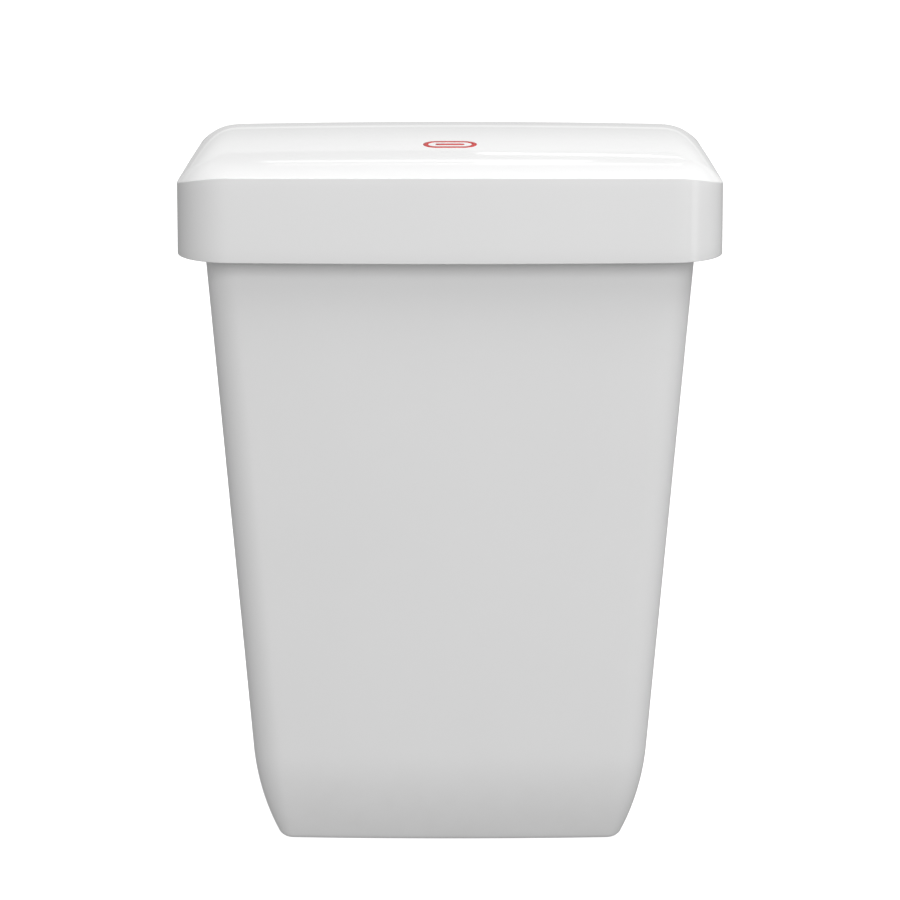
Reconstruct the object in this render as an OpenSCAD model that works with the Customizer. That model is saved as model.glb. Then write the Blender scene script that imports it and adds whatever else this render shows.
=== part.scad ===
// Rectangular waste bin with a hinged, domed lid.
// Millimetres, +Z up. The origin is on the floor under the middle of the lid,
// and the front faces -Y.

/* [Lid] */
// Width of the lid at its upper edge
lid_w = 420; // [340:1:510]
// Depth of the lid at its upper edge
lid_d = 306; // [250:1:370]
// Height of the lid's upper edge above the floor, at the front
lid_edge_z = 569; // [470:1:690]
// Height of the skirt that hangs from the upper edge
skirt_h = 65.6; // [60:0.2:90]
// Wall of the lid
lid_wall = 2.6; // [2:0.1:3.5]
// Corner radius of the lid in plan
lid_corner_r = 44; // [36:1:56]
// Outward draft of the skirt, in degrees
skirt_draft = 0.8; // [0:0.1:1.5]
// Radius of the bowed front, in plan
front_r = 3300; // [2000:100:6000]

/* [Crown of the lid] */
// Height of the crown above the front edge
crown_rise = 15.8; // [10:0.1:26]
// Distance of the crown's highest line behind the front edge
crown_back = 140; // [110:1:180]
// Height at which the crown meets the front edge
crown_front = 2; // [0:0.1:4]
// Fall of the crown below the front edge, at the back
crown_rear = 2.8; // [0:0.1:6]
// Fall of the crown towards each side
crown_side = 2.5; // [0:0.1:4]
// Power of the curve by which the shoulder rises from the edge
shoulder_power = 3; // [2:0.1:4]
// Drop of the upper edge from the front to the sides
edge_drop = 9.9; // [0:0.1:14]
// Part of that drop that belongs to the bow of the front edge
edge_bow = 0.75; // [0:0.05:2]

/* [Body] */
// Overhang of the skirt beyond the body's wall, all round
overhang = 21; // [20:0.5:26]
// Taper of the body's walls, in degrees
body_taper = 3.78; // [2:0.02:5]
// Wall of the body
body_wall = 3; // [2.4:0.1:4]
// Corner radius of the body in plan
body_corner_r = 26.5; // [22:0.5:32]
// Depth of the body's rim below the lid's front edge
rim_below = 24; // [22:1:27]
// Width of the rim's flange
flange_w = 5; // [3:0.5:5]
// Thickness of the flange and of its lip
flange_t = 3; // [2:0.5:3]
// Height of the flange's lip
lip_h = 8; // [5:0.5:8]
// Radius of the long bend near the base
bend_r = 230; // [150:5:300]
// Slope of the wall below the bend, in degrees
bend_a = 24; // [12:1:28]
// Radius of the base's edge
base_r = 10; // [8:1:18]

/* [Liner ring] */
// Thickness of the ring that grips the bag
ring_t = 2.5; // [2:0.1:3]
// Depth of the ring's collar inside the body
collar_h = 16; // [10:1:16]
// Clearance between the collar and the body's wall
collar_gap = 0.5; // [0.3:0.1:1]

/* [Feet and buffers] */
// Height of the feet
foot_h = 1.8; // [1.2:0.2:6]
// Radius of a foot
foot_r = 10; // [8:0.5:14]
// Radius of a foot's stem
foot_stem_r = 3; // [2.5:0.1:4]
// Distance of the feet from the middle, sideways
foot_x = 105; // [60:1:110]
// Distance of the feet from the middle, front to back
foot_y = 52; // [30:1:54]
// Radius of a buffer under the lid
buffer_r = 5; // [4:0.5:5]
// Height of a buffer's head
buffer_h = 4.7; // [3:0.1:6]
// Radius of a buffer's stem
buffer_stem_r = 2.5; // [2:0.1:3]
// Distance of the buffers from the middle, front to back
buffer_y = 80; // [50:1:84]

/* [Hinges] */
// Distance of each hinge from the middle
hinge_x = 95; // [60:1:110]
// Distance of the hinge's axis inside the skirt's rear wall
hinge_in = 8.6; // [8.4:0.1:9]
// Height of the axis above the skirt's lower edge
hinge_up = 8; // [7.6:0.1:8.4]
// Radius of the hinge pin
pin_r = 2.5; // [2:0.1:3]
// Radial clearance of the leaf on the pin
pin_gap = 0.05; // [0.02:0.01:0.09]
// Radius of the hinge's barrel
barrel_r = 5.5; // [5:0.1:5.7]
// Width of the leaf
leaf_w = 24; // [22:0.5:30]
// Width of each ear of the block
ear_w = 7; // [5:0.5:9]
// Clearance between the leaf and each ear
ear_gap = 0.3; // [0.2:0.1:0.6]

/* [Hidden] */
$fn = 48;

white = [0.93, 0.93, 0.92];
warm_grey = [0.62, 0.62, 0.61];
steel = [0.72, 0.73, 0.75];
rubber = [0.13, 0.13, 0.14];

// Segments along the bowed front, the back and one side, and round one corner
front_steps = 8;
back_steps = 8;
side_steps = 6;
corner_steps = 8;
ring_count = front_steps + back_steps + 2 * side_steps + 4 * corner_steps;

// Lid
draft_out = skirt_h * tan(skirt_draft);
skirt_z = lid_edge_z - skirt_h;
shoulder_w = lid_corner_r - 4;
crown_y = crown_back - lid_d / 2;

// Body: the wall's place is given at the height of the skirt's lower edge
body_hx = lid_w / 2 + draft_out - overhang;
body_hy = lid_d / 2 + draft_out - overhang;
rim_z = lid_edge_z - rim_below;
bend_z = foot_h + bend_r * (sin(bend_a) - sin(body_taper)) + base_r * (1 - sin(bend_a));
bend_off = -(skirt_z - bend_z) * tan(body_taper);
bend_in = bend_r * (cos(body_taper) - cos(bend_a));
corner_shrink = 0.75;
corner_min = 4;

// Liner ring
ring_out = 3;
ring_top = rim_z + ring_t;

// Lid's posts and their rubber buffers, over the middle of the rim
rest_gap = 0.3;
post_r = buffer_r + 1;
post_z = ring_top + rest_gap + buffer_h;
post_x = body_hx + (rim_z - skirt_z) * tan(body_taper) - body_wall / 2;
buffer_stem_h = 7;
buffer_hole_h = 8;

// Feet
foot_barb_r = foot_stem_r + 1.2;
foot_barb_h = 1.6;

// Hinges
axis_y = lid_d / 2 + draft_out - lid_wall - hinge_in;
axis_z = skirt_z + hinge_up;
ear_x = leaf_w / 2 + ear_gap;
hinge_half = ear_x + ear_w;
plate_half = hinge_half + 10.7;
plate_t = 3.5;
plate_h = 24;
plate_z = axis_z - 4;
seat_gap = 0.05;
leaf_t = 3;
leaf_top = axis_z + 24;
leaf_back = axis_y + 1.8;
screw_x = 7;
screw_z = axis_z + 17;
screw_r = 1.5;
pilot_r = 1.25;
screw_hole_r = 1.7;
screw_l = 5;
screw_head_r = 3.2;
screw_head_h = 2.2;
boss_r = 4;
rivet_x = hinge_half + 5.2;
rivet_z = 14;
rivet_r = 2;
rivet_hole_r = 2.1;
rivet_head_r = 4;
rivet_head_h = 1.4;
rivet_tail_r = 3.2;
rivet_tail_h = 1.5;
pin_head_r = 4;
pin_head_h = 1.5;
groove_r = 2.1 / 2.5 * pin_r;
clip_t = 1;
clip_r = 4.6;

// ---- Outlines and lofts -------------------------------------------------

// Rounded rectangle with a bowed front, anticlockwise from the front left.
// The corner circles touch the front's large circle and the straight sides.
function outline(hx, hy, r, bow_r) =
    let (
        cy = -hy + bow_r - sqrt(pow(bow_r - r, 2) - pow(hx - r, 2)),
        lean = asin((hx - r) / (bow_r - r))
    )
    concat(
        [for (i = [1:front_steps - 1]) let (a = lean * (2 * i / front_steps - 1))
            [bow_r * sin(a), -hy + bow_r * (1 - cos(a))]],
        arc(hx - r, cy, r, lean - 90, 0),
        between([hx, cy], [hx, hy - r], side_steps),
        arc(hx - r, hy - r, r, 0, 90),
        between([hx - r, hy], [r - hx, hy], back_steps),
        arc(r - hx, hy - r, r, 90, 180),
        between([-hx, hy - r], [-hx, cy], side_steps),
        arc(r - hx, cy, r, 180, 270 - lean)
    );

function between(from, to, steps) = [for (i = [1:steps - 1]) from + (to - from) * i / steps];

function arc(cx, cy, r, from, to) =
    [for (i = [0:corner_steps]) let (a = from + (to - from) * i / corner_steps)
        [cx + r * cos(a), cy + r * sin(a)]];

function lift(points, z) = [for (p = points) [p.x, p.y, z]];

// Triangles between ring a and ring b, seen clockwise from outside
function band(a, b, n) = [for (i = [0:n - 1]) let (j = (i + 1) % n)
    each [[a * n + i, b * n + i, b * n + j], [a * n + i, b * n + j, a * n + j]]];

// Closed solid through a list of rings, with a centre point at each end
module loft(rings, first, last) {
    n = len(rings[0]);
    m = len(rings);
    polyhedron(
        points = concat([for (r = rings) each r], [first, last]),
        faces = concat(
            [for (k = [0:m - 2]) each band(k, k + 1, n)],
            [for (i = [0:n - 1]) [m * n, i, (i + 1) % n]],
            [for (i = [0:n - 1]) [m * n + 1, (m - 1) * n + (i + 1) % n, (m - 1) * n + i]]
        )
    );
}

// Closed ring through a list of outlines that come back to the first
module loop_loft(rings) {
    n = len(rings[0]);
    m = len(rings);
    polyhedron(
        points = [for (r = rings) each r],
        faces = [for (k = [0:m - 1]) each band(k, (k + 1) % m, n)]
    );
}

// ---- Lid ----------------------------------------------------------------

// Height of the crown over a point, above the front edge
function crown(x, y) =
    let (
        ahead = y < crown_y,
        span = ahead ? crown_back : lid_d - crown_back,
        fall = ahead ? crown_rise - crown_front : crown_rise + crown_rear
    )
    crown_rise - fall * pow((y - crown_y) / span, 2) - crown_side * pow(2 * x / lid_w, 2);

// How far each point of an outline has gone down the edge's drop, 0 to 1
function smooth(t) = t * t * (3 - 2 * t);
bow_share = edge_drop > 0 ? edge_bow / edge_drop : 0;
function corner_drop(t) = bow_share + (1 - bow_share) * smooth(t);
edge_share = concat(
    [for (i = [1:front_steps - 1]) bow_share * pow(2 * i / front_steps - 1, 2)],
    [for (i = [0:corner_steps]) corner_drop(i / corner_steps)],
    [for (i = [1:back_steps + 2 * side_steps + 2 * corner_steps - 1]) 1],
    [for (i = [0:corner_steps]) corner_drop(1 - i / corner_steps)]
);

// Lid's outline, moved in by e and grown by g
function lid_outline(e) = outline(lid_w / 2 - e, lid_d / 2 - e, lid_corner_r - e, front_r - e);

// Dome ring at distance e inside the edge, for a skin that lies t below the surface
function dome_ring(e, t) =
    let (
        edge = lid_outline(t),
        ring = lid_outline(t + e),
        fade = pow(1 - e / (shoulder_w - t), shoulder_power)
    )
    [for (i = [0:ring_count - 1])
        let (drop = crown(edge[i].x, edge[i].y) + edge_drop * edge_share[i])
        [ring[i].x, ring[i].y, lid_edge_z - t + crown(ring[i].x, ring[i].y) - drop * fade]];

// Ring on the crown, drawn in towards its highest point by the share s
function crown_ring(s, t) =
    [for (p = lid_outline(shoulder_w)) let (x = p.x * s, y = crown_y + (p.y - crown_y) * s)
        [x, y, lid_edge_z - t + crown(x, y)]];

shoulder_rings = [0, 0.07, 0.15, 0.25, 0.37, 0.5, 0.66, 0.83];
crown_rings = [1, 0.8, 0.6, 0.4, 0.2];

// From the skirt's lower edge to the last ring before the crown's top
function lid_rings(t) = concat(
    [lift(lid_outline(t - draft_out), skirt_z)],
    [for (s = shoulder_rings) dome_ring(s * (shoulder_w - t), t)],
    [for (s = crown_rings) crown_ring(s, t)]
);
function crown_top(t) = [0, crown_y, lid_edge_z - t + crown_rise];
function reversed(list) = [for (i = [len(list) - 1:-1:0]) list[i]];

module lid_shell() color(white) difference() {
    union() {
        loft(concat(reversed(lid_rings(lid_wall)), lid_rings(0)), crown_top(lid_wall), crown_top(0));
        intersection() {
            for (x = [-post_x, post_x], y = [-buffer_y, buffer_y])
                translate([x, y, post_z]) cylinder(r = post_r, h = crown_rise + lid_edge_z - post_z);
            loft(lid_rings(lid_wall / 2), [0, 0, skirt_z], crown_top(lid_wall / 2));
        }
        for (side = [-1, 1], x = [-screw_x, screw_x])
            translate([side * hinge_x + x, leaf_back, screw_z]) rotate([-90, 0, 0])
                cylinder(r = boss_r, h = lid_d / 2 + draft_out - lid_wall / 2 - leaf_back
                    - (screw_z - skirt_z) * tan(skirt_draft));
    }
    for (x = [-post_x, post_x], y = [-buffer_y, buffer_y])
        translate([x, y, post_z - 1]) cylinder(r = buffer_stem_r, h = buffer_hole_h + 1);
    for (side = [-1, 1], x = [-screw_x, screw_x])
        translate([side * hinge_x + x, leaf_back - 1, screw_z]) rotate([-90, 0, 0])
            cylinder(r = pilot_r, h = screw_l + 1.5);
}

// ---- Body ---------------------------------------------------------------

// Ring of the body at an offset from the wall at the skirt's lower edge
function body_ring(off, z, r) =
    lift(outline(body_hx + off, body_hy + off, r, front_r - overhang + off), z);

// Ring where the wall leans by the angle a, for a face that lies t inside the wall
function bend_ring(a, t) =
    let (
        bend = min(a, bend_a),
        edge = max(a, bend_a),
        inset = bend_r * (cos(body_taper) - cos(bend)) + base_r * (cos(bend_a) - cos(edge)),
        fall = bend_r * (sin(bend) - sin(body_taper)) + base_r * (sin(edge) - sin(bend_a)),
        r = max(corner_min, body_corner_r - corner_shrink * inset - t * cos(a))
    )
    body_ring(bend_off - inset - t * cos(a), bend_z - fall + t * sin(a), r);

// Ring on the straight wall
function wall_off(z) = (z - skirt_z) * tan(body_taper);
function wall_ring(z, t, out = 0) =
    let (off = out - t / cos(body_taper)) body_ring(wall_off(z) + off, z, body_corner_r + off);

edge_angles = [90, 72, 54, 37, bend_a];
bend_steps = 5;
lean_angles = concat(edge_angles,
    [for (i = [1:bend_steps]) bend_a + (body_taper - bend_a) * i / bend_steps]);

module body_shell() color(white) difference() {
    loft(
        concat(
            [for (a = lean_angles) bend_ring(a, 0)],
            [wall_ring(rim_z - flange_t, 0),
             wall_ring(rim_z - flange_t, 0, flange_w - flange_t),
             wall_ring(rim_z - lip_h, 0, flange_w - flange_t),
             wall_ring(rim_z - lip_h, 0, flange_w),
             wall_ring(rim_z, 0, flange_w),
             wall_ring(rim_z, body_wall)],
            [for (a = reversed(lean_angles)) bend_ring(a, body_wall)]
        ),
        [0, 0, foot_h], [0, 0, foot_h + body_wall]
    );
    for (x = [-foot_x, foot_x], y = [-foot_y, foot_y])
        translate([x, y, foot_h - 1]) cylinder(r = foot_stem_r, h = body_wall + 2);
    for (side = [-1, 1]) on_rear_wall(side) for (x = [-rivet_x, rivet_x])
        translate([x, 1, rivet_z]) rotate([90, 0, 0]) cylinder(r = rivet_hole_r, h = body_wall + 2);
}

// Angle-section ring: its flange lies on the rim and its collar hangs inside the wall
module liner_ring() color(warm_grey) {
    inside = body_wall / cos(body_taper) + collar_gap;
    loop_loft([
        rim_ring(ring_out, rim_z),
        rim_ring(ring_out, ring_top),
        rim_ring(-inside - ring_t, ring_top),
        rim_ring(-inside - ring_t + wall_off(rim_z - collar_h) - wall_off(rim_z), rim_z - collar_h),
        rim_ring(-inside + wall_off(rim_z - collar_h) - wall_off(rim_z), rim_z - collar_h),
        rim_ring(-inside, rim_z)
    ]);
}
function rim_ring(out, z) = body_ring(wall_off(rim_z) + out, z, body_corner_r + out);

// ---- Feet and buffers ---------------------------------------------------

// Rubber foot: a disc, a stem through the base and a barb above it
module foot(x, y) color(rubber) translate([x, y, 0]) {
    bevel = 0.8;
    rotate_extrude() polygon([
        [0, 0], [foot_r - bevel, 0], [foot_r, bevel], [foot_r, foot_h], [foot_stem_r, foot_h],
        [foot_stem_r, foot_h + body_wall], [foot_barb_r, foot_h + body_wall],
        [foot_stem_r, foot_h + body_wall + foot_barb_h], [0, foot_h + body_wall + foot_barb_h]
    ]);
}
module foot_front_left() foot(-foot_x, -foot_y);
module foot_front_right() foot(foot_x, -foot_y);
module foot_back_left() foot(-foot_x, foot_y);
module foot_back_right() foot(foot_x, foot_y);

// Rubber buffer: its head stands just over the liner ring, its stem is in the lid's post
module buffer(x, y) color(rubber) translate([x, y, post_z]) {
    bevel = 0.8;
    rotate_extrude() polygon([
        [0, -buffer_h], [buffer_r - bevel, -buffer_h], [buffer_r, bevel - buffer_h], [buffer_r, 0],
        [buffer_stem_r, 0], [buffer_stem_r, buffer_stem_h], [0, buffer_stem_h]
    ]);
}
module buffer_front_left() buffer(-post_x, -buffer_y);
module buffer_front_right() buffer(post_x, -buffer_y);
module buffer_back_left() buffer(-post_x, buffer_y);
module buffer_back_right() buffer(post_x, buffer_y);

// ---- Hinges -------------------------------------------------------------

// Places things on the body's rear wall: local Y leaves the wall, local Z runs up it
module on_rear_wall(side)
    translate([side * hinge_x, body_hy + wall_off(plate_z), plate_z])
        rotate([-body_taper, 0, 0]) children();

// Places things on the hinge's axis: local Z runs towards +X
module on_axis(side)
    translate([side * hinge_x, axis_y, axis_z]) rotate([0, 90, 0]) children();

// Block on the body: a plate with two ears that hold the pin
module hinge_block(side) color(white) difference() {
    union() {
        on_rear_wall(side) translate([-plate_half, seat_gap, 0])
            cube([2 * plate_half, plate_t - seat_gap, plate_h]);
        for (x = [-hinge_half, ear_x]) {
            on_axis(side) translate([0, 0, x]) cylinder(r = barrel_r, h = ear_w);
            translate([side * hinge_x + x, axis_y, axis_z - barrel_r])
                mirror([0, 1, 0]) cube([ear_w, axis_y - body_hy - plate_t + 1, 2 * barrel_r]);
        }
    }
    on_axis(side) translate([0, 0, -plate_half]) cylinder(r = pin_r, h = 2 * plate_half);
    on_rear_wall(side) for (x = [-rivet_x, rivet_x])
        translate([x, plate_t + 1, rivet_z]) rotate([90, 0, 0])
            cylinder(r = rivet_hole_r, h = plate_t + 2);
}
module hinge_block_left() hinge_block(-1);
module hinge_block_right() hinge_block(1);

// Leaf on the lid: a barrel round the pin and a plate screwed to the lid's bosses
module hinge_leaf(side) color(white) difference() {
    union() {
        on_axis(side) translate([0, 0, -leaf_w / 2]) cylinder(r = barrel_r, h = leaf_w);
        translate([side * hinge_x - leaf_w / 2, leaf_back - leaf_t, axis_z])
            cube([leaf_w, leaf_t, leaf_top - axis_z]);
    }
    on_axis(side) translate([0, 0, -leaf_w]) cylinder(r = pin_r + pin_gap, h = 2 * leaf_w);
    for (x = [-screw_x, screw_x])
        translate([side * hinge_x + x, leaf_back - leaf_t - 1, screw_z]) rotate([-90, 0, 0])
            cylinder(r = screw_hole_r, h = leaf_t + 2);
}
module hinge_leaf_left() hinge_leaf(-1);
module hinge_leaf_right() hinge_leaf(1);

// Pin with a head at its left end and a groove for the clip at its right end
module hinge_pin(side) color(steel) on_axis(side) translate([0, 0, -hinge_half]) rotate_extrude() polygon([
    [0, -pin_head_h], [pin_head_r, -pin_head_h], [pin_head_r, 0], [pin_r, 0],
    [pin_r, 2 * hinge_half], [groove_r, 2 * hinge_half],
    [groove_r, 2 * hinge_half + clip_t], [pin_r, 2 * hinge_half + clip_t],
    [pin_r, 2 * hinge_half + 2 * clip_t], [pin_r - 0.6, 2 * hinge_half + 2 * clip_t + 0.6],
    [0, 2 * hinge_half + 2 * clip_t + 0.6]
]);
module hinge_pin_left() hinge_pin(-1);
module hinge_pin_right() hinge_pin(1);

// Open clip in the pin's groove
module pin_clip(side) color(steel) on_axis(side) translate([0, 0, hinge_half]) difference() {
    cylinder(r = clip_r, h = clip_t);
    translate([0, 0, -1]) cylinder(r = groove_r, h = clip_t + 2);
    translate([0, -groove_r * 0.8, -1]) cube([2 * clip_r, groove_r * 1.6, clip_t + 2]);
}
module pin_clip_left() pin_clip(-1);
module pin_clip_right() pin_clip(1);

// Rivets through the blocks and the body's wall
module block_rivets() color(steel) for (side = [-1, 1], x = [-rivet_x, rivet_x])
    on_rear_wall(side) translate([x, 0, rivet_z]) rotate([-90, 0, 0]) rotate_extrude() polygon([
        [0, -body_wall - rivet_tail_h], [rivet_tail_r, -body_wall - rivet_tail_h],
        [rivet_tail_r, -body_wall - seat_gap], [rivet_r, -body_wall - seat_gap], [rivet_r, plate_t],
        [rivet_head_r, plate_t], [rivet_head_r * 0.72, plate_t + rivet_head_h],
        [0, plate_t + rivet_head_h]
    ]);

// Thread-forming screws through the leaves into the lid's bosses
module leaf_screws() color(steel) for (side = [-1, 1], x = [-screw_x, screw_x])
    translate([side * hinge_x + x, leaf_back, screw_z]) rotate([-90, 0, 0]) rotate_extrude() polygon([
        [0, -leaf_t - screw_head_h], [screw_head_r * 0.8, -leaf_t - screw_head_h],
        [screw_head_r, -leaf_t - 0.6 * screw_head_h], [screw_head_r, -leaf_t], [screw_r, -leaf_t],
        [screw_r, screw_l - 1], [0, screw_l]
    ]);

body_shell();
liner_ring();
lid_shell();
hinge_block_left();
hinge_block_right();
hinge_leaf_left();
hinge_leaf_right();
hinge_pin_left();
hinge_pin_right();
pin_clip_left();
pin_clip_right();
block_rivets();
leaf_screws();
foot_front_left();
foot_front_right();
foot_back_left();
foot_back_right();
buffer_front_left();
buffer_front_right();
buffer_back_left();
buffer_back_right();
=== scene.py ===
# %% [markdown]
# # A waste bin of white moulded plastic
#
# The real object is plain to look at: a tapered tub, and over it a lid with a deep skirt and a
# gently domed top. Plain shapes are the hardest to fake. There is nothing on them to hide behind,
# so the outline, the soft bends and the way light slides over them have to be right.
#
# The design model gives the frame: every size, the hinge and what moves with what. This script
# puts smooth surfaces, finishes, light and a camera around it.

import bpy
import numpy as np
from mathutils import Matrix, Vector


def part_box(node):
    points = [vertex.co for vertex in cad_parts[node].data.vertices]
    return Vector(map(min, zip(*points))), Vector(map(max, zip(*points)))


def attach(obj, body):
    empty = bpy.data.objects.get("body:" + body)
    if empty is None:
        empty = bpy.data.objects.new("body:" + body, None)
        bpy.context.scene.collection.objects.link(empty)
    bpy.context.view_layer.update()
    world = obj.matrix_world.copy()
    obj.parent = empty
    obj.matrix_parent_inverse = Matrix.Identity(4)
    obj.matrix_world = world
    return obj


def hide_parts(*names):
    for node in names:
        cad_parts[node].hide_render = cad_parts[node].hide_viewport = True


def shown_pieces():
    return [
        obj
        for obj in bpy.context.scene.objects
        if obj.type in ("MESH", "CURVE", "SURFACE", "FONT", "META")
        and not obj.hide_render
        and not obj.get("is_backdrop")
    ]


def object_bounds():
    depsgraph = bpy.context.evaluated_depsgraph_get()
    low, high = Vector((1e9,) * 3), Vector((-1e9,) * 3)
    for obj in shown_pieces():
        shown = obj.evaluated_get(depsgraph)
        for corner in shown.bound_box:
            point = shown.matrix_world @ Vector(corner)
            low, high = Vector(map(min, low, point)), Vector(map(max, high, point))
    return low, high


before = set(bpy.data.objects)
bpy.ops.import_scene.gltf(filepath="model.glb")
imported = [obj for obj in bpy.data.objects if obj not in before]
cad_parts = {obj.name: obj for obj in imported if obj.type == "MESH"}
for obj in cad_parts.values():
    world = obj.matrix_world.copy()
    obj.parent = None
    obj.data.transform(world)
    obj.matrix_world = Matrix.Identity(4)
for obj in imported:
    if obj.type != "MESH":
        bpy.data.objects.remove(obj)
cad_box = [list(corner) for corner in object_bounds()]
MM = 0.001

# %% [markdown]
# ## Sizes
#
# Places come from the frame's own boxes: the lid's box gives the overall width, depth and height,
# and the edge of the skirt. What a box can't say, such as a radius or a wall, is named here once.

# %% Sizes of the lid and the body
lid_low, lid_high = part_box("lid_shell")
ring_low, ring_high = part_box("liner_ring")
foot_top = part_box("body_shell")[0].z

skirt_z = lid_low.z
crown_rise = 15.8 * MM
edge_z = lid_high.z - crown_rise
skirt_draft = np.tan(np.radians(0.8)) * (edge_z - skirt_z)
lid_hx, lid_hy = lid_high.x - skirt_draft, lid_high.y - skirt_draft
lid_wall = 2.6 * MM
lid_corner = 44 * MM
shoulder, shoulder_power = lid_corner - 4 * MM, 3
front_bow = 3300 * MM

overhang = 21 * MM
body_hx, body_hy = lid_high.x - overhang, lid_high.y - overhang
body_wall = 3 * MM
body_corner = 26.5 * MM
lean = np.radians(3.78)
rim_z = edge_z - 24 * MM
print("lid", round(2 * lid_hx, 4), "x", round(2 * lid_hy, 4), "edge at", round(edge_z, 4))

# %% [markdown]
# ## Camera
#
# A bin like this is looked at from the front and a little above. The camera could stand close with
# a short lens, but the lid's front would then swell and hide the dome. It stands two metres away
# with a long lens, which keeps the sides almost parallel, and tilts down, so upright edges draw
# together slightly towards the floor. Nothing is shifted and nothing is out of focus.

# %% Camera
camera_data = bpy.data.cameras.new("camera")
camera_data.sensor_width = 36.0
camera_data.lens = 104.5
camera_distance, camera_height, look_down = 1.947, 0.883, 15.1
camera = bpy.data.objects.new("camera", camera_data)
camera.location = (0, -lid_hy - camera_distance, camera_height)
camera.rotation_euler = (np.radians(90 - look_down), 0, 0)
bpy.context.scene.collection.objects.link(camera)
bpy.context.scene.camera = camera
print("camera at", [round(v, 3) for v in camera.location])

# %% [markdown]
# ## Surfaces from grids of points
#
# Moulded shells could be built from primitives with modifiers for wall, bevel and smoothness, but
# then their sizes come out of the modifiers and can't be read. Here every new piece is a grid: rows
# along a profile, columns round an outline. Whole arrays of points are worked out at once and
# handed to the mesh. A grid's columns always close on themselves. Its rows end in a centre point,
# or close on themselves too, so a piece never has a loose edge. Outlines run anticlockwise seen
# from above and profiles run up the outside, which makes every face point outwards.


# %% A mesh from a grid of points
def surface(name, points, closed_rows=False, ends=()):
    """Joins each point of a (rows, columns, 3) grid to its neighbours with four-sided faces,
    and joins the first and last row to the two end points with triangles."""
    rows, columns, _ = points.shape
    index = np.arange(rows * columns).reshape(rows, columns)
    ahead = np.roll(index, -1, axis=1)
    span = slice(None) if closed_rows else slice(0, rows - 1)
    above, above_ahead = (np.roll(a, -1, axis=0)[span] for a in (index, ahead))
    quads = np.stack([index[span], ahead[span], above_ahead, above], axis=-1).reshape(-1, 4)
    faces = quads.tolist()
    flat = points.reshape(-1, 3)
    if len(ends):
        flat = np.vstack([flat, ends])
        first, last = np.full(columns, rows * columns), np.full(columns, rows * columns + 1)
        faces += np.stack([first, ahead[0], index[0]], axis=-1).tolist()
        faces += np.stack([last, index[-1], ahead[-1]], axis=-1).tolist()
    mesh = bpy.data.meshes.new(name)
    mesh.from_pydata(flat.tolist(), [], faces)
    mesh.polygons.foreach_set("use_smooth", np.ones(len(faces), bool))
    mesh.update()
    piece = bpy.data.objects.new(name, mesh)
    bpy.context.scene.collection.objects.link(piece)
    print(name, len(faces), "faces")
    return piece


# %% Several grids as one piece
def joined(name, pieces):
    """One piece from several, which a moulding is."""
    with bpy.context.temp_override(
        active_object=pieces[0], selected_editable_objects=pieces, selected_objects=pieces
    ):
        bpy.ops.object.join()
    pieces[0].name = pieces[0].data.name = name
    return pieces[0]


# %% [markdown]
# ## Outlines and profiles
#
# Seen from above, the lid and the body are the same figure: a rectangle with round corners and a
# front that bows out by a few millimetres. A bevelled rectangle would come close, but a highlight
# shows any kink in it. So the bow is part of a very large circle that runs into the corner circles
# at a tangent, and no false line shows where they meet.


# %% The rounded rectangle with a bowed front
def outline(hx, hy, corner, bow, front=48, side=24, back=40, turn=26):
    """Rows of closed outlines, one for each entry of the half sizes.
    The front is x = bow sin(a), y = -hy + bow (1 - cos(a)); each corner is a quarter circle, and
    the front corners' centres lie bow - corner from the front circle's centre."""
    hx, hy, corner, bow = (np.atleast_1d(v).astype(float)[:, None] for v in (hx, hy, corner, bow))
    centre_y = -hy + bow - np.sqrt((bow - corner) ** 2 - (hx - corner) ** 2)
    reach = np.arcsin((hx - corner) / (bow - corner))
    quarter = np.pi / 2

    def arc(cx, cy, start, stop):
        a = start + (stop - start) * np.linspace(0, 1, turn + 1)
        return cx + corner * np.cos(a), cy + corner * np.sin(a)

    def line(x0, y0, x1, y1, steps):
        t = np.arange(1, steps) / steps
        return x0 + (x1 - x0) * t, y0 + (y1 - y0) * t

    a = reach * (2 * np.arange(1, front) / front - 1)
    runs = [
        (bow * np.sin(a), -hy + bow * (1 - np.cos(a))),
        arc(hx - corner, centre_y, reach - quarter, 0 * reach),
        line(hx, centre_y, hx, hy - corner, side),
        arc(hx - corner, hy - corner, 0 * reach, quarter + 0 * reach),
        line(hx - corner, hy, corner - hx, hy, back),
        arc(corner - hx, hy - corner, quarter + 0 * reach, 2 * quarter + 0 * reach),
        line(-hx, hy - corner, -hx, centre_y, side),
        arc(corner - hx, centre_y, 2 * quarter + 0 * reach, 3 * quarter - reach),
    ]
    return np.stack([np.hstack([r[i] for r in runs]) for i in (0, 1)], axis=-1)


# %% Profiles with rounded corners
def rounded(corners, radii, closed=False, steps=5):
    """Path through the corners, each one cut back by its radius and replaced by the curve
    (1 - t)^2 start + 2 t (1 - t) corner + t^2 stop."""
    corners = np.array(corners, float)
    radii = np.broadcast_to(radii, len(corners))[:, None]

    def towards(other):
        step = other - corners
        return corners + step / np.linalg.norm(step, axis=1, keepdims=True) * radii

    start, stop = towards(np.roll(corners, 1, axis=0)), towards(np.roll(corners, -1, axis=0))
    t = np.linspace(0, 1, steps + 1)[None, :, None]
    curve = (1 - t) ** 2 * start[:, None] + 2 * t * (1 - t) * corners[:, None] + t**2 * stop[:, None]
    if closed:
        return curve.reshape(-1, 2)
    return np.vstack([corners[:1], curve[1:-1].reshape(-1, 2), corners[-1:]])


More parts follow.
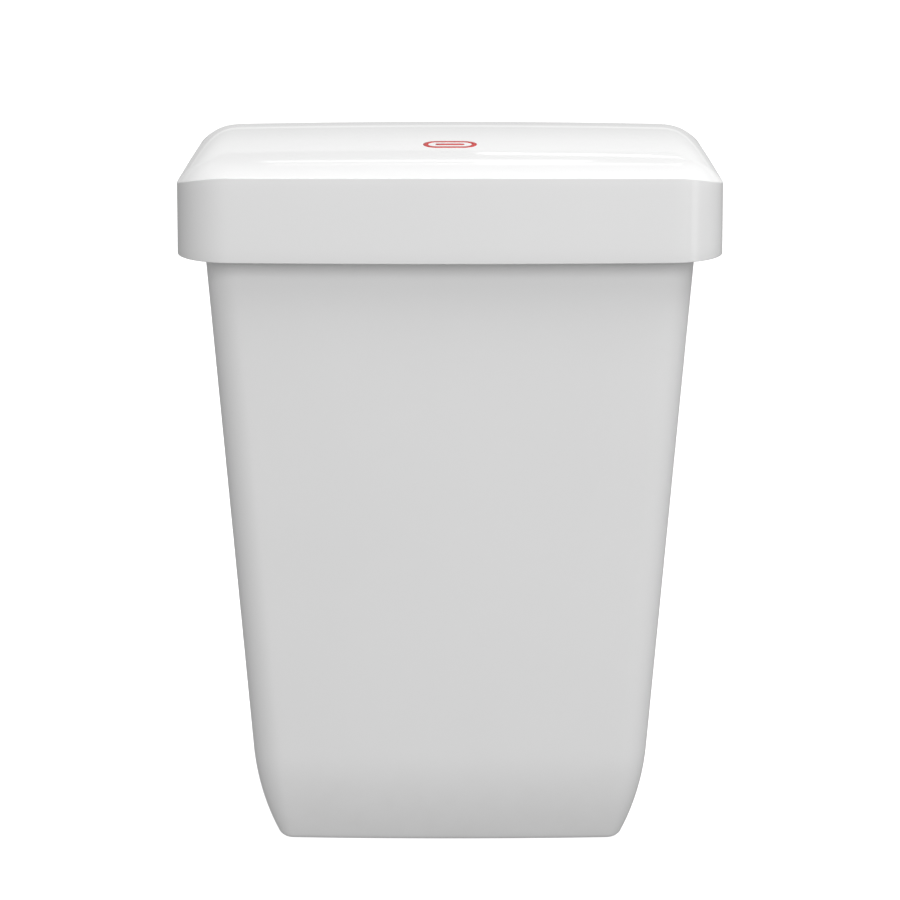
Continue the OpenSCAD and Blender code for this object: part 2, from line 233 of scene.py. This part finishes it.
# %% [markdown]
# ## The lid
#
# The lid is one moulding. Its top is a crown, the sum of a shallow arch from front to back and a
# shallower one from side to side. Near the edge the crown turns down over a shoulder about 40 mm
# wide. At the front the shoulder hardly falls, so the crown meets the skirt in a crisp edge. Round
# the front corners that edge drops by 10 mm, and the sides and the back keep the lower level. That
# is what makes the lid look like a pillow set in a frame.
#
# A box under a subdivision modifier would round the crisp edge as soon as it softens the shoulder.
# Rows of outlines, each with a height for every point, keep the one sharp and the other soft.

# %% The crown and its edge
crown_front, crown_rear, crown_side = 2 * MM, 2.8 * MM, 2.5 * MM
crown_back = 140 * MM
crown_y = crown_back - lid_hy
edge_drop, edge_bow = 9.9 * MM, 0.75 * MM
print("highest line of the crown at y", round(crown_y, 4))


def crown(x, y):
    """Height above the front edge: the rise, less a fall that grows with the square of the
    distance from the highest line, less one with the square of the distance from the middle."""
    ahead = y < crown_y
    span = np.where(ahead, crown_back, 2 * lid_hy - crown_back)
    fall = np.where(ahead, crown_rise - crown_front, crown_rise + crown_rear)
    return crown_rise - fall * ((y - crown_y) / span) ** 2 - crown_side * (x / lid_hx) ** 2


def edge_fall(front=48, side=24, back=40, turn=26):
    """How far the edge lies below its highest point, for each column of an outline: the square of
    the distance from the middle along the front, then a smooth step round each front corner."""
    bow = edge_bow * (2 * np.arange(1, front) / front - 1) ** 2
    t = np.linspace(0, 1, turn + 1)
    down = edge_bow + (edge_drop - edge_bow) * t * t * (3 - 2 * t)
    level = np.full(back + 2 * side + 2 * turn - 1, edge_drop)
    return np.hstack([bow, down, level, down[::-1]])


# %% Rows of the lid, from the skirt's lower edge to the top
def lid_plan(inset):
    """The lid's outline, moved in by the inset."""
    inset = np.atleast_1d(inset)
    return outline(lid_hx - inset, lid_hy - inset, lid_corner - inset, front_bow - inset)


def with_height(plan, height):
    """Adds a height to every point of a plan."""
    return np.concatenate([plan, np.broadcast_to(height, plan.shape[:2])[..., None]], axis=-1)


def dome_rows(inset, skin):
    """Rows on the shoulder, for a skin that lies below the surface: the crown, less what the edge
    has to fall, faded out with a power of the distance that is left to the shoulder's end."""
    edge, plan = lid_plan(skin)[0], lid_plan(skin + inset)
    fall = crown(edge[:, 0], edge[:, 1]) + edge_fall()
    fade = (1 - inset[:, None] / (shoulder - skin)) ** shoulder_power
    return with_height(plan, edge_z - skin + crown(plan[..., 0], plan[..., 1]) - fall * fade)


def crown_rows(shares, skin):
    """Rows on the crown, drawn in from the shoulder's end towards the highest point."""
    plan = (lid_plan(shoulder) - [0, crown_y]) * shares[:, None, None] + [0, crown_y]
    return with_height(plan, edge_z - skin + crown(plan[..., 0], plan[..., 1]))


def lid_rows(skin, edge_r, lip_r):
    """The skirt, the rounded edge over it, the shoulder and the crown."""
    foot = with_height(lid_plan(skin - skirt_draft), skirt_z + lip_r)
    first = with_height(lid_plan(skin), (edge_z - skin - edge_fall())[None])
    inset = edge_r + (shoulder - skin - edge_r) * np.linspace(0, 1, 26) ** 1.4
    dome = dome_rows(inset[:-1], skin)
    drop = first - foot
    height = drop[..., 2:]
    below = first - drop * (edge_r / height)
    wall = foot + (below - foot) * np.linspace(0, 1, 8)[:-1, None, None]
    t = np.linspace(0, 1, 7)[:-1, None, None]
    edge = (1 - t) ** 2 * below + 2 * t * (1 - t) * first + t**2 * dome[:1]
    return np.concatenate([wall, edge, dome, crown_rows(np.linspace(1, 0, 20)[:-1], skin)])


# %% The lid's skin
def lid_lip(radius, steps=6):
    """Rows round the skirt's lower edge, from the inside to the outside: two quarter circles."""
    a = np.linspace(0, np.pi / 2, steps + 1)[1:]
    inner = lid_wall - radius * (1 - np.cos(a))
    outer = radius * (1 - np.sin(a))
    inset = np.hstack([inner, outer])
    drop = np.hstack([radius * (1 - np.sin(a)), radius * (1 - np.cos(a))])
    return with_height(lid_plan(inset - skirt_draft), (skirt_z + drop)[:, None])


lip_r = 0.6 * MM
outside, inside = lid_rows(0.0, 0.6 * MM, lip_r), lid_rows(lid_wall, 1.6 * MM, lip_r)
rows = np.concatenate([inside[::-1], lid_lip(lip_r)[:-1], outside])
tops = [[0, crown_y, edge_z + crown_rise - lid_wall], [0, crown_y, edge_z + crown_rise]]
lid_skin = surface("lid_skin", rows, ends=tops)

# %% [markdown]
# Under the lid stand four round posts, which carry the rubber buffers, and at the back four short
# bosses, which take the hinge leaves' screws. Plain cylinders would do for size but have sharp
# ends, which no tool makes. These are turned shapes: a profile with round corners, carried round
# an axis. Their far ends run into the lid's wall, and they are joined to it as one moulding.


# %% Turned shapes
def turned(name, path, centre, axis="Z", columns=48, socket=0):
    """Carries a path of (radius, height) points round an axis through the centre:
    x = radius cos(a), y = radius sin(a). The last `socket` rows are six-sided instead of round."""
    path = np.array(path, float)
    a = 2 * np.pi * np.arange(columns) / columns
    radius = np.repeat(path[:, :1], columns, axis=1)
    if socket:
        sixth = np.pi / 3
        radius[-socket:] *= np.cos(sixth / 2) / np.cos(np.mod(a + sixth / 2, sixth) - sixth / 2)
    across, along, up = (np.array(v) for v in {
        "Z": ([1, 0, 0], [0, 1, 0], [0, 0, 1]),
        "Y": ([0, 0, 1], [1, 0, 0], [0, 1, 0]),
        "-Y": ([1, 0, 0], [0, 0, 1], [0, -1, 0]),
    }[axis])
    turn = np.cos(a)[:, None] * across + np.sin(a)[:, None] * along
    points = np.array(centre) + radius[..., None] * turn + path[:, 1, None, None] * up
    return surface(name, points, ends=[np.array(centre) + path[i, 1] * up for i in (0, -1)])


# %% Posts under the dome
buffers = [n for n in sorted(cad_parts) if n.startswith("buffer_")]
post_centres = [(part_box(n)[0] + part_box(n)[1]) / 2 for n in buffers]
buffer_r = (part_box(buffers[0])[1].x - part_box(buffers[0])[0].x) / 2
buffer_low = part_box(buffers[0])[0].z
buffer_head, post_wall, root = 4.7 * MM, 1 * MM, 1.5 * MM
post_r, post_z = buffer_r + post_wall, buffer_low + buffer_head
axis_r = 0.001 * MM


def under_dome(x, y, skin):
    """Height of the skin under a point of the shoulder at the side."""
    left = 1 - (lid_hx - abs(x) - skin) / (shoulder - skin)
    fall = crown(np.sign(x) * (lid_hx - skin), y) + edge_drop
    return edge_z - skin + crown(x, y) - fall * left**shoulder_power


def pillar(name, centre, radius, length, soft, axis="Z"):
    """A round bar with softened ends, from the centre along the axis."""
    corners = [(axis_r, 0), (radius, 0), (radius, length), (axis_r, length)]
    return turned(name, rounded(corners, soft)[1:-1], centre, axis)


posts = []
for centre in post_centres:
    top = min(under_dome(centre.x + s * post_r, centre.y, lid_wall) for s in (-1, 1)) + root
    posts.append(pillar("post", (centre.x, centre.y, post_z), post_r, top - post_z, 0.5 * MM))

# %% Bosses for the hinge screws
leaf_low, leaf_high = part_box("hinge_leaf_right")
screw_low, screw_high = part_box("leaf_screws")
hinge_x = (leaf_low.x + leaf_high.x) / 2
screw_z = (screw_low.z + screw_high.z) / 2
screw_pitch, head_h, leaf_t, boss_r = 14 * MM, 2.2 * MM, 3 * MM, 4 * MM
screw_places = [(s * hinge_x + d, screw_z) for s in (-1, 1) for d in (-screw_pitch / 2, screw_pitch / 2)]
plate_back = screw_low.y + head_h + leaf_t
bosses = []
for x, z in screw_places:
    depth = lid_high.y - lid_wall / 2 - plate_back - (z - skirt_z) / (edge_z - skirt_z) * skirt_draft
    bosses.append(pillar("boss", (x, plate_back, z), boss_r, depth, 0.3 * MM, "Y"))

# %% The lid as one moulding
lid = joined("lid_moulding", [lid_skin, *posts, *bosses])
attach(lid, "lid")
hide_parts("lid_shell")

# %% [markdown]
# ## The body
#
# The tub is one thin-walled moulding that leans in towards the floor. Near the base its wall bends
# inwards over a long radius and then turns under in a short one, and at the rim a flange stiffens
# it. A solidify modifier on an open tub would give the wall but not the flange, so the tub is drawn
# as one long path: up the outside from the middle of the base, over the flange, and down the
# inside. A corner's radius seen from above grows and shrinks with the path, as it does when a shape
# is offset by a wall.

# %% The bend near the base
bend_r, base_r = 230 * MM, 10 * MM
bend_a = np.radians(24)
bend_z = foot_top + bend_r * (np.sin(bend_a) - np.sin(lean)) + base_r * (1 - np.sin(bend_a))
corner_share, corner_least = 0.75, 4 * MM
print("the wall starts to bend at", round(bend_z, 4))


def wall_at(z):
    """Distance of the straight wall outside its place at the skirt's lower edge."""
    return (z - skirt_z) * np.tan(lean)


def bend_path(skin):
    """From the flat of the base to the straight wall: two arcs, each r (cos, sin) of the wall's
    angle, for a face that lies `skin` inside the outer one. Rows of (distance outside the wall's
    place, height, corner radius)."""
    a = np.hstack([np.linspace(np.pi / 2, bend_a, 14), np.linspace(bend_a, lean, 22)[1:]])
    low, high = np.minimum(a, bend_a), np.maximum(a, bend_a)
    inset = bend_r * (np.cos(lean) - np.cos(low)) + base_r * (np.cos(bend_a) - np.cos(high))
    fall = bend_r * (np.sin(low) - np.sin(lean)) + base_r * (np.sin(high) - np.sin(bend_a))
    return np.column_stack([
        wall_at(bend_z) - inset - skin * np.cos(a),
        bend_z - fall + skin * np.sin(a),
        np.maximum(corner_least, body_corner - corner_share * inset - skin * np.cos(a)),
    ])


# %% The rim with its flange and lip
flange_w, flange_t, lip_h = 5 * MM, 3 * MM, 8 * MM
under, lip_z = rim_z - flange_t, rim_z - lip_h
level_wall = body_wall / np.cos(lean)
rim_corners = [
    (wall_at(bend_z), bend_z),
    (wall_at(under), under),
    (wall_at(under) + flange_w - flange_t, under),
    (wall_at(lip_z) + flange_w - flange_t, lip_z),
    (wall_at(lip_z) + flange_w, lip_z),
    (wall_at(rim_z) + flange_w, rim_z),
    (wall_at(rim_z) - level_wall, rim_z),
    (wall_at(bend_z) - level_wall, bend_z),
]
rim_path = rounded(rim_corners, np.array([0, 1.0, 0.8, 0.6, 0.8, 1.1, 0.8, 0]) * MM)
print("rim at", round(rim_z, 4), "drawn with", len(rim_path), "points")


# %% The body's skin
def on_wall(path):
    """Adds the corner radius to a path: the body's own, plus the distance outside its wall."""
    return np.column_stack([path, body_corner + path[:, 0] - wall_at(path[:, 1])])


def body_rows(path):
    """Outlines along a path of (distance outside the wall's place, height, corner radius)."""
    off, z, corner = path.T
    plan = outline(body_hx + off, body_hy + off, corner, front_bow - overhang + off)
    return with_height(plan, z[:, None])


def towards_middle(row, shares):
    """Rows drawn in to the middle, for a flat."""
    return row * (shares[:, None, None] * [1, 1, 0] + [0, 0, 1])


outer, inner = bend_path(0.0), bend_path(body_wall)
base, floor_in = body_rows(outer[:1]), body_rows(inner[:1])
shares = np.linspace(0, 1, 9)[1:-1]
rows = np.concatenate([
    towards_middle(base, shares),
    body_rows(np.vstack([outer, on_wall(rim_path[1:-1]), inner[::-1]])),
    towards_middle(floor_in, shares[::-1]),
])
body = surface("body_moulding", rows, ends=[[0, 0, foot_top], [0, 0, foot_top + body_wall]])
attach(body, "bin")
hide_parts("body_shell")

# %% [markdown]
# ## The liner ring
#
# A bag is pulled through this ring and folded over it, and the ring drops onto the rim. It is an
# angle section bent round the mouth. A curve with a bevelled section would make it too, but it
# would twist a little at the corners. Carried round the body's own outlines it fits the rim all the
# way. Its path closes on itself.

# %% The liner ring
ring_t, ring_reach, collar_gap = 2.5 * MM, 3 * MM, 0.5 * MM
collar = level_wall + collar_gap
at_rim, at_foot = wall_at(rim_z), wall_at(ring_low.z)
ring_corners = [
    (at_rim + ring_reach, rim_z),
    (at_rim + ring_reach, ring_high.z),
    (at_rim - collar - ring_t, ring_high.z),
    (at_foot - collar - ring_t, ring_low.z),
    (at_foot - collar, ring_low.z),
    (at_rim - collar, rim_z),
]
ring_path = rounded(ring_corners, np.array([0.5, 1.0, 1.2, 0.6, 0.6, 0.4]) * MM, closed=True)
ring = surface("bag_ring", body_rows(on_wall(ring_path)), closed_rows=True)
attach(ring, "bin")
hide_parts("liner_ring")

# %% [markdown]
# ## Feet and buffers
#
# The bin stands on four rubber feet pushed into its base, and the lid comes down on four rubber
# buffers pushed into its posts. One foot could be modelled and copied, but each takes its place and
# size from its own box in the frame, so they are turned one by one in a loop, with soft edges.

# %% Rubber feet
foot_r, stem_r = 10 * MM, 3 * MM
barb_z, barb_r = foot_top + body_wall, 4.2 * MM
for name in [n for n in sorted(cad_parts) if n.startswith("foot_")]:
    low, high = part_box(name)
    corners = [(0, 0), (foot_r, 0), (foot_r, foot_top), (stem_r, foot_top), (stem_r, barb_z),
               (barb_r, barb_z), (stem_r, high.z), (0, high.z)]
    path = rounded(corners, np.array([0, 0.9, 0.6, 0.2, 0.2, 0.2, 0.4, 0]) * MM)
    foot = turned("rubber_" + name, path[1:-1], ((low.x + high.x) / 2, (low.y + high.y) / 2, 0))
    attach(foot, "bin")
    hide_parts(name)

# %% Rubber buffers
plug_r = 2.5 * MM
for name, centre in zip(buffers, post_centres):
    low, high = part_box(name)
    face, plug = low.z - post_z, high.z - post_z
    corners = [(0, face), (buffer_r, face), (buffer_r, 0), (plug_r, 0), (plug_r, plug), (0, plug)]
    path = rounded(corners, np.array([0, 0.9, 0.3, 0.2, 0.3, 0]) * MM)
    pad = turned("rubber_" + name, path[1:-1], (centre.x, centre.y, post_z))
    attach(pad, "lid")
    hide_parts(name)

# %% [markdown]
# ## The printed mark
#
# A small red mark is printed on the lid's front slope. It is a generic sign: a flat ring with a
# bar in its middle. A picture laid on the lid would blur when looked at closely. Ink has a
# thickness of its own, so the mark is a film a tenth of a millimetre thick, bent over the crown,
# and its edge stays sharp.


# %% Films of ink on the crown
def stadium(length, width, columns=96):
    """Outline with straight sides and round ends: a circle's points, pulled apart sideways."""
    a = 2 * np.pi * np.arange(columns) / columns
    x = width / 2 * np.cos(a) + np.sign(np.cos(a)) * (length - width) / 2
    return np.column_stack([x, width / 2 * np.sin(a)])


def on_crown(plan, above):
    """Lays a plan on the crown, at a height above its surface."""
    return with_height(plan, edge_z + crown(plan[..., 0], plan[..., 1]) + np.array(above)[:, None])


ink, sunk = 0.06 * MM, -0.05 * MM
mark_at = np.array([0, crown_y - 58 * MM])
outer_edge, inner_edge = stadium(42 * MM, 23 * MM), stadium(34 * MM, 14 * MM)
band = np.stack([outer_edge, outer_edge, inner_edge, inner_edge]) + mark_at
ring_film = surface("ring_film", on_crown(band, [sunk, ink, ink, sunk]), closed_rows=True)
bar_shares = np.array([0.4, 1.0, 1.0, 0.4])[:, None, None]
bar = stadium(23 * MM, 5 * MM) * bar_shares + mark_at
middle = [[0, mark_at[1], edge_z + crown(0, mark_at[1]) + h] for h in (sunk, ink)]
bar_film = surface("bar_film", on_crown(bar, [sunk, sunk, ink, ink]), ends=middle)
mark = joined("printed_mark", [ring_film, bar_film])
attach(mark, "lid")

# %% [markdown]
# ## Fasteners
#
# Rivets hold the hinge blocks to the body, and screws hold the leaves to the lid. The rivets, the
# pins, their clips and the blocks and leaves are kept from the design model, whose flat and round
# faces are already theirs, and only get a finish. The screws are made new, because a plain drum for
# a head looks wrong close up: a real one has a soft edge and a six-sided socket.

# %% Screws
head_r, shank_r, socket_r = 3.2 * MM, 1.5 * MM, 1.25 * MM
socket_depth, socket_rim, edge_r = 1.3 * MM, 0.15 * MM, 0.12 * MM
tip = screw_low.y - screw_high.y
screw_corners = [
    (0, tip), (shank_r * 0.5, tip), (shank_r, tip + head_h), (shank_r, -head_h),
    (head_r, -head_h), (head_r * 0.9, 0),
    (socket_r * 1.1, 0), (socket_r, -socket_rim), (socket_r, -socket_depth), (0, -socket_depth),
]
screw_path = rounded(screw_corners, edge_r, steps=3)[1:-1]
made = [turned("screw", screw_path, (x, screw_low.y, z), axis="-Y", socket=9) for x, z in screw_places]
screws = joined("hinge_screws", made)
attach(screws, "lid")
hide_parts("leaf_screws")

# %% [markdown]
# ## Finishes
#
# Each finish is a small network of nodes. Written one node at a time, such a network is hard to
# read, so a socket is wrapped in a class whose objects add and multiply like numbers, and each
# operator adds the Math node that it stands for. Everything else comes from one method.


# %% A socket that works like a number
class Field:
    """A value that varies over the surface of one material."""

    def __init__(self, tree, socket=None):
        self.tree, self.socket = tree, socket

    def node(self, kind, settings=None, out=0, **inputs):
        """Adds a node. Its settings come first, then its sockets, by name or as n0, n1 and so on."""
        made = self.tree.nodes.new(kind)
        for name, value in (settings or {}).items():
            setattr(made, name, value)
        for name, value in inputs.items():
            number = name[0] == "n" and name[1:].isdigit()
            socket = made.inputs[int(name[1:])] if number else made.inputs[name.replace("_", " ")]
            if isinstance(value, Field):
                self.tree.links.new(value.socket, socket)
            else:
                socket.default_value = value
        return Field(self.tree, made.outputs[out])

    def math(self, operation, a, b):
        return self.node("ShaderNodeMath", {"operation": operation}, n0=a, n1=b)

    def __add__(self, other):
        return self.math("ADD", self, other)

    def __sub__(self, other):
        return self.math("SUBTRACT", self, other)

    def __rsub__(self, other):
        return self.math("SUBTRACT", other, self)

    def __mul__(self, other):
        return self.math("MULTIPLY", self, other)

    __radd__ = __add__
    __rmul__ = __mul__

    def ramp(self, low, high):
        """0 below low, 1 above high, and a smooth step between."""
        return self.node("ShaderNodeMapRange", {"interpolation_type": "SMOOTHSTEP"},
                         Value=self, From_Min=low, From_Max=high)

    def blend(self, a, b):
        """Colour a where this is 0, colour b where it is 1."""
        return self.node("ShaderNodeMix", {"data_type": "RGBA"}, out=2, n0=self, n6=a, n7=b)


# %% A new material
def new_material(name, **constants):
    """An empty finish: its tree, its shader and the places on its piece, in metres."""
    material = bpy.data.materials.new(name)
    material.use_nodes = True
    tree = material.node_tree
    shader = tree.nodes["Principled BSDF"]
    for socket, value in constants.items():
        shader.inputs[socket.replace("_", " ")].default_value = value
    place = Field(tree).node("ShaderNodeTexCoord", out=3)
    return material, shader, place


def grain(place, scale, detail=2.0, rough=0.5):
    """Noise from 0 to 1 with about `scale` lumps in each metre. Each further octave of detail is
    twice as fine and `rough` times as strong."""
    return place.node("ShaderNodeTexNoise", Vector=place, Scale=scale, Detail=detail, Roughness=rough)


def axis_of(place, number):
    """One coordinate of a place: 0 is sideways, 1 is front to back, 2 is up."""
    return place.node("ShaderNodeSeparateXYZ", out=number, Vector=place)


def wire(shader, socket, field):
    """Feeds one of the shader's sockets."""
    field.tree.links.new(field.socket, shader.inputs[socket])


def relief(shader, place, height):
    """Bends the light by a height in metres, without moving the surface."""
    wire(shader, "Normal", place.node("ShaderNodeBump", Strength=1.0, Distance=1.0, Height=height))


# %% [markdown]
# ### White moulded plastic
#
# The lid and the body are the same white polypropylene from two tools. The lid's tool is polished,
# so it has a gloss with the faint waviness of a moulded skin. The body's tool is finely eroded, so
# it has a satin surface with a grain well under a millimetre. The body's colour is still set a step
# lighter than the lid's: that step is painted light, which brightens the tub. Both carry what use
# leaves: scuffs too faint to count, which roughen the plastic more than they colour it, and a
# breath of grey low down, where shoes and mops reach.
#
# One even colour would look like paper. Noise at several sizes gives each of these its own layer,
# and needs no picture and no unwrapping. The grey plastic of the ring and the hinge's white plastic
# are the same finish with other numbers.


# %% White plastic
def plastic(name, shade, rough, grain_scale, grain_depth, wave_depth, soil_low, soil_high):
    """Plastic with flow clouds, scuffs and a grain, and soil that fades out between two heights."""
    colour, dull = (*shade, 1), (*(c * 0.988 for c in shade), 1)
    grime = (*(c * f for c, f in zip(shade, (0.90, 0.895, 0.885))), 1)
    material, shader, place = new_material(name)
    clouds = grain(place, 7.0, 3.0)
    scuffs = grain(place, 160.0, 6.0, 0.7).ramp(0.62, 0.78) * grain(place, 11.0).ramp(0.45, 0.75)
    soil = (1 - axis_of(place, 2).ramp(soil_low, soil_high)) * grain(place, 45.0, 4.0).ramp(0.3, 0.8)
    clean = clouds.ramp(0.3, 0.7).blend(colour, dull)
    wire(shader, "Base Color", (soil * 0.25 + scuffs * 0.1).blend(clean, grime))
    wire(shader, "Roughness", clouds * 0.03 + scuffs * 0.08 + soil * 0.06 + (rough - 0.015))
    relief(shader, place, grain(place, grain_scale, 1.0) * grain_depth + grain(place, 28.0, 1.0) * wave_depth)
    return material


lid_white = plastic("glossy_white", (0.80, 0.80, 0.80), 0.06, 900, 0.0004 * MM, 0.005 * MM, 0.45, 0.50)
# The body's white (0.85 against the lid's 0.80) is the same plastic set a step lighter: painted light on the
# tub.
body_white_painted_light = plastic("satin_white", (0.85, 0.85, 0.85), 0.36, 1700, 0.012 * MM, 0.015 * MM, foot_top, 0.12)
hinge_white = plastic("hinge_white", (0.78, 0.78, 0.77), 0.42, 1500, 0.012 * MM, 0.01 * MM, 0.45, 0.50)
ring_grey = plastic(
    "ring_grey", (0.46, 0.46, 0.45), 0.45, 1400, 0.015 * MM, 0.01 * MM, ring_low.z, ring_high.z
)
print("plastics", [m.name for m in (lid_white, body_white_painted_light, hinge_white, ring_grey)])

# %% [markdown]
# ### Rubber
#
# The feet and buffers are black rubber, dark and dull, with a bloom that greys it in patches. An
# even black would hide their shape, so the bloom also makes them a little rougher, and a fine bump
# breaks up what is left of the highlight.


# %% Rubber
def rubber():
    """Black rubber with a grey bloom."""
    material, shader, place = new_material("black_rubber", Specular_IOR_Level=0.35)
    bloom = grain(place, 90.0, 5.0, 0.6).ramp(0.35, 0.75)
    wire(shader, "Base Color", bloom.blend((0.022, 0.022, 0.023, 1), (0.060, 0.060, 0.058, 1)))
    wire(shader, "Roughness", bloom * 0.15 + 0.65)
    relief(shader, place, grain(place, 1300.0, 3.0) * (0.03 * MM))
    return material


black = rubber()
print("rubber", black.name)

# %% [markdown]
# ### Metal
#
# The hinge pins are drawn steel: fine lines run along them and spread the highlight across. Clips
# and screws are zinc-plated, and the rivets are aluminium. An anisotropic shader could give the
# drawn lines, but only for one direction of light. Noise squeezed along one axis gives lines that
# can be seen as well, and the same function without the squeeze makes the plain metals.


# %% Metal
def metal(name, shade, rough, drawn=1.0):
    """Bright metal with stains. Its noise is stretched `drawn` times along X."""
    material, shader, place = new_material(name, Metallic=1.0)
    stretched = place.node("ShaderNodeMapping", Vector=place, Scale=(1 / drawn, 1, 1))
    lines = grain(stretched, 2600.0)
    stains = grain(place, 140.0, 4.0).ramp(0.4, 0.8)
    wire(shader, "Base Color", stains.blend((*shade, 1), (*(c * 0.78 for c in shade), 1)))
    wire(shader, "Roughness", lines * 0.12 + stains * 0.12 + (rough - 0.06))
    relief(shader, place, lines * (0.008 * MM))
    return material


steel = metal("drawn_steel", (0.60, 0.61, 0.62), 0.30, drawn=12.0)
zinc = metal("zinc_plate", (0.52, 0.53, 0.55), 0.38)
aluminium = metal("dull_aluminium", (0.74, 0.75, 0.76), 0.42)
print("metals", [m.name for m in (steel, zinc, aluminium)])

# %% [markdown]
# ### Ink
#
# Printed ink is even and a little duller than the gloss under it. What tells it from a painted
# face is pinholes, where the print is thin and the white shows through, so noise picks out a few
# specks and makes them paler and rougher.


# %% Ink
def ink_film():
    """Red ink with pinholes."""
    material, shader, place = new_material("red_ink", Specular_IOR_Level=0.45)
    pinholes = grain(place, 2400.0).ramp(0.70, 0.78)
    red = grain(place, 60.0).blend((0.50, 0.010, 0.008, 1), (0.56, 0.016, 0.012, 1))
    wire(shader, "Base Color", pinholes.blend(red, (0.72, 0.35, 0.33, 1)))
    wire(shader, "Roughness", pinholes * 0.2 + 0.34)
    relief(shader, place, grain(place, 1800.0) * (0.006 * MM))
    return material


red_ink = ink_film()
print("ink", red_ink.name)

# %% [markdown]
# ### Finishes on their pieces
#
# Some pieces are new and some are kept from the design model, but both take a finish in the same
# way, by name. A table of first words is shorter than a line for each piece, and the printed lists
# show at once if one was missed.


# %% Every piece gets its finish
def paint(piece, material):
    """Gives a piece one finish all over."""
    if not piece.material_slots:
        piece.data.materials.append(material)
    for slot in piece.material_slots:
        slot.material = material


finishes = {
    "lid_moulding": lid_white, "body_moulding": body_white_painted_light, "bag_ring": ring_grey,
    "printed_mark": red_ink, "hinge_screws": zinc, "rubber_": black, "hinge_block": hinge_white,
    "hinge_leaf": hinge_white, "hinge_pin": steel, "pin_clip": zinc, "block_rivets": aluminium,
}
for start, finish in finishes.items():
    painted = [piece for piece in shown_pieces() if piece.name.startswith(start)]
    for piece in painted:
        paint(piece, finish)
    print(finish.name, "on", [piece.name for piece in painted])

# %% [markdown]
# ## Floor and light
#
# The bin stands in a white studio. A floor that is lit to pure white would throw so much light back
# that the underside lost its shading, so the floor glows instead, and only the camera sees it. A
# hood of the same finish closes off the distance all round, for a view from any side.

# %% Floor
reach, hood_r = 30.0, 28.0
floor_mesh = bpy.data.meshes.new("floor")
floor_mesh.from_pydata(
    [(-reach, -reach, 0), (reach, -reach, 0), (reach, reach, 0), (-reach, reach, 0)], [], [(0, 1, 2, 3)]
)
floor = bpy.data.objects.new("floor", floor_mesh)
bpy.context.scene.collection.objects.link(floor)
pale, _, _ = new_material(
    "pale_floor", Base_Color=(0.9, 0.9, 0.9, 1), Roughness=0.9,
    Emission_Color=(1, 1, 1, 1), Emission_Strength=0.78,
)
print("floor", 2 * reach, "m across")

# %% Hood round the floor
rise, around = np.meshgrid(
    np.radians(np.linspace(-84, 84, 15)), 2 * np.pi * np.arange(48) / 48, indexing="ij"
)
ball = np.stack([np.cos(rise) * np.cos(around), np.cos(rise) * np.sin(around), np.sin(rise)], axis=-1)
hood = surface("hood", ball * hood_r, ends=[(0, 0, -hood_r), (0, 0, hood_r)])
hood.visible_shadow = hood.visible_transmission = False
for backdrop in (floor, hood):
    backdrop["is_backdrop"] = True
    backdrop.data.materials.append(pale)
    backdrop.visible_diffuse = backdrop.visible_glossy = False

# %% [markdown]
# ### Light
#
# White on white needs light that is planned by surface. A large softbox overhead makes the dome the
# brightest part, and a second one in front sets the band and the tub a step darker. A narrow one
# on the right draws a pale line down that corner, and a wide one behind is what the back of the
# dome mirrors. Thin tubes behind the bin make the fine streaks on the gloss. The room glows
# faintly, which keeps the shadow under the skirt soft. One strong lamp would be quicker, but would
# leave a hard shadow and a single hot spot.


# %% Lights
def softbox(name, place, aim, size, power):
    """A rectangle of light at a place, turned towards its aim. Only what it lights is seen."""
    data = bpy.data.lights.new(name, "AREA")
    data.shape = "RECTANGLE"
    data.size, data.size_y = size
    data.energy = power
    light = bpy.data.objects.new(name, data)
    light.location = place
    light.rotation_euler = (Vector(aim) - Vector(place)).to_track_quat("-Z", "Y").to_euler()
    light.visible_camera = False
    bpy.context.scene.collection.objects.link(light)
    print(name, power, "W")


middle_of_bin = (0, 0, 0.35)
softbox("overhead", (0.7, -0.5, 3.0), middle_of_bin, (2.8, 2.4), 68)
softbox("front", (0.35, -4.2, 2.2), middle_of_bin, (3.0, 2.0), 84)
softbox("right", (2.5, -1.6, 0.7), middle_of_bin, (0.7, 2.2), 5)
softbox("back", (0, 4.0, 1.1), (0, 0, 1.1), (6.0, 2.1), 11)
softbox("low_lamp", (0, 4.0, 0.80), middle_of_bin, (5.0, 0.10), 0.5)
softbox("left_tube", (-0.05, 3.0, 2.10), middle_of_bin, (0.75, 0.06), 0.15)
softbox("left_tube_high", (-0.05, 3.0, 2.31), middle_of_bin, (0.75, 0.06), 0.12)
softbox("right_tube", (0.36, 3.0, 1.87), middle_of_bin, (0.60, 0.05), 0.12)
softbox("right_tube_high", (0.36, 3.0, 2.25), middle_of_bin, (0.60, 0.05), 0.12)

# %% The room's own glow
world = bpy.data.worlds.new("studio")
world.use_nodes = True
glow = world.node_tree.nodes["Background"]
glow.inputs["Color"].default_value = (1, 1, 1, 1)
glow.inputs["Strength"].default_value = 0.354
bpy.context.scene.world = world
bpy.context.scene.view_settings.view_transform = "Standard"
print("room glows at", round(glow.inputs["Strength"].default_value, 3))

# %% [markdown]
# ## The finished model's size
#
# The box of the finished model is set beside the frame's own box, to show how far the new surfaces
# have changed the object's size. The looks may not change the object's size.

# %% How far the finished box lies from the frame's box
visual_box = [list(corner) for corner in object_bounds()]
growth = np.abs(np.array(visual_box) - np.array(cad_box)).max()
print("largest difference from the frame's box", round(float(growth) * 1000, 2), "mm")
